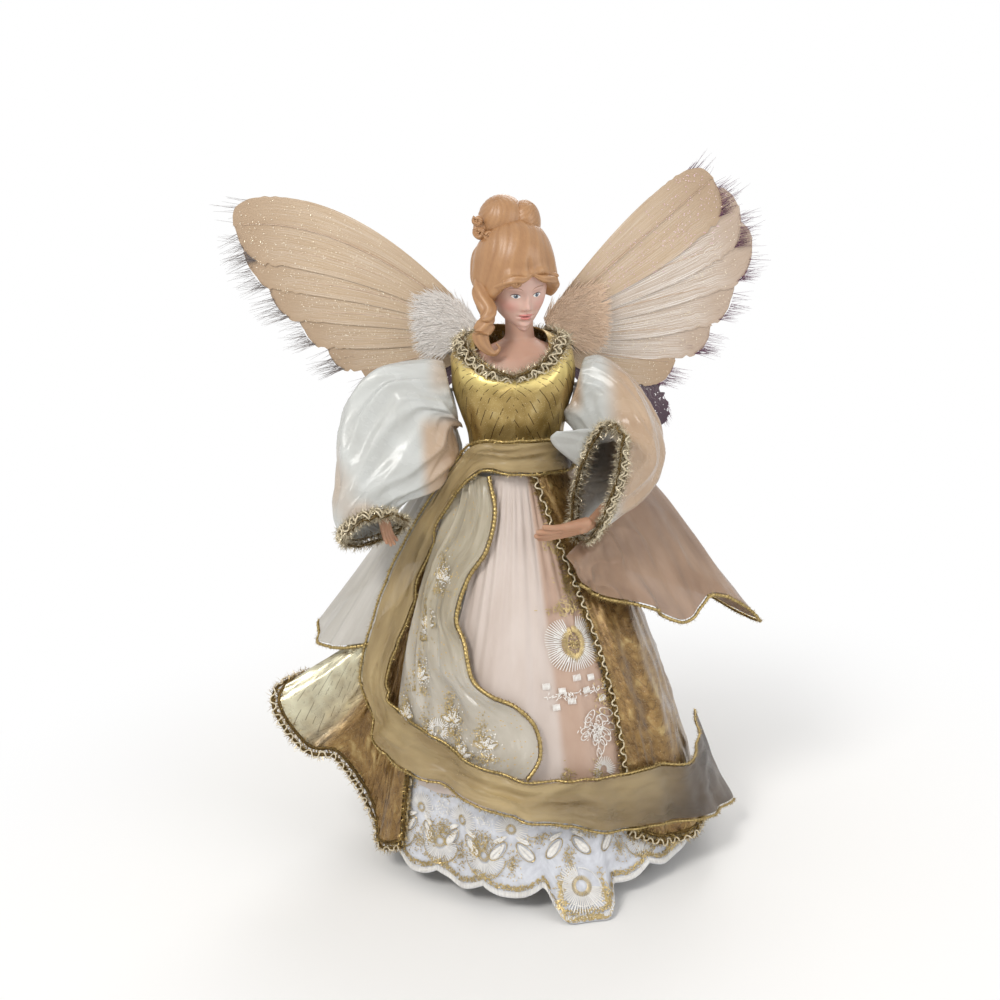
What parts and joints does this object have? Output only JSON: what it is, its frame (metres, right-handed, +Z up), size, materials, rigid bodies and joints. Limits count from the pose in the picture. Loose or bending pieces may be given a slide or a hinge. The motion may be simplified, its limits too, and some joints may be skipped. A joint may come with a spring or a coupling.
{
  "type": "angel tree topper",
  "caption": "Dressed angel figure on a hollow cone that slips over the tip of a tree, with layered skirts, a sash, posable arms and two hinged feather wings.",
  "frame": {"origin": "centre of the cone's open mouth, on the plane that its rim stands on", "axes": "+Z up along the cone, the figure faces -Y, +X to the right as seen from its front"},
  "size_m": [0.3189, 0.2206, 0.4091],
  "materials": {
    "card": "matte",
    "net_lining": "satin lining with net",
    "white_lace": "embroidered net",
    "pink_lace": "satin with embroidered lace",
    "gold_brocade": "metallic brocade",
    "metallic_braid": "tinsel braid",
    "gold_cord": "twisted metallic thread",
    "ivory_organza": "sheer, iridescent",
    "olive_organza": "sheer, metallic",
    "blush_organza": "sheer",
    "white_satin": "glossy satin",
    "foam": "foamed",
    "wire": "bare wire",
    "cast_skin": "painted cast resin",
    "cast_hair": "painted cast resin",
    "feather": "glittered feather",
    "plum_feather": "glittered feather",
    "down": "down"
  },
  "bodies": {
    "root": {"body_cone": "card", "underskirt": "net_lining", "lace_hem": "white_lace", "lace_panel": "pink_lace", "gold_overskirt": "gold_brocade", "overskirt_front_braid": "metallic_braid", "overskirt_hem_braid": "metallic_braid", "sheer_apron": "ivory_organza", "apron_cord": "gold_cord", "sash": "olive_organza", "sash_inner_cord": "gold_cord", "sash_outer_cord": "gold_cord", "stole": "blush_organza", "stole_cord": "gold_cord", "torso_form": "foam", "bodice": "gold_brocade", "neck_braid": "metallic_braid", "waist_braid": "metallic_braid", "shoulder_wire": "wire", "head_casting": "cast_skin", "hair_casting": "cast_hair", "wing_bracket": "wire"},
    "left_arm": {"left_sleeve": "white_satin", "left_cuff_braid": "metallic_braid", "left_arm_wire": "wire", "left_hand": "cast_skin"},
    "right_arm": {"right_sleeve": "white_satin", "right_cuff_braid": "metallic_braid", "right_arm_wire": "wire", "right_hand": "cast_skin"},
    "left_wing": {"left_wing_spar": "wire", "left_wing_feather_1": "feather", "left_wing_feather_2": "feather", "left_wing_feather_3": "feather", "left_wing_feather_4": "feather", "left_wing_feather_5": "feather", "left_wing_feather_6": "feather", "left_wing_feather_7": "plum_feather", "left_wing_down": "down"},
    "right_wing": {"right_wing_spar": "wire", "right_wing_feather_1": "feather", "right_wing_feather_2": "feather", "right_wing_feather_3": "feather", "right_wing_feather_4": "feather", "right_wing_feather_5": "feather", "right_wing_feather_6": "feather", "right_wing_feather_7": "plum_feather", "right_wing_down": "down"}
  },
  "joints": [
    {"name": "left_shoulder", "type": "hinge", "parent": "root", "child": "left_arm", "pos_m": [-0.0442, 0, 0.294], "axis": [-1, 0, 0], "range_deg": [0, 30]},
    {"name": "right_shoulder", "type": "hinge", "parent": "root", "child": "right_arm", "pos_m": [0.0372, 0, 0.294], "axis": [-1, 0, 0], "range_deg": [0, 30]},
    {"name": "left_wing_hinge", "type": "hinge", "parent": "root", "child": "left_wing", "pos_m": [-0.0155, 0.03011, 0.308], "axis": [0, 0, -1], "range_deg": [-5, 35]},
    {"name": "right_wing_hinge", "type": "hinge", "parent": "root", "child": "right_wing", "pos_m": [0.0085, 0.03011, 0.308], "axis": [0, 0, 1], "range_deg": [-5, 35]}
  ]
}
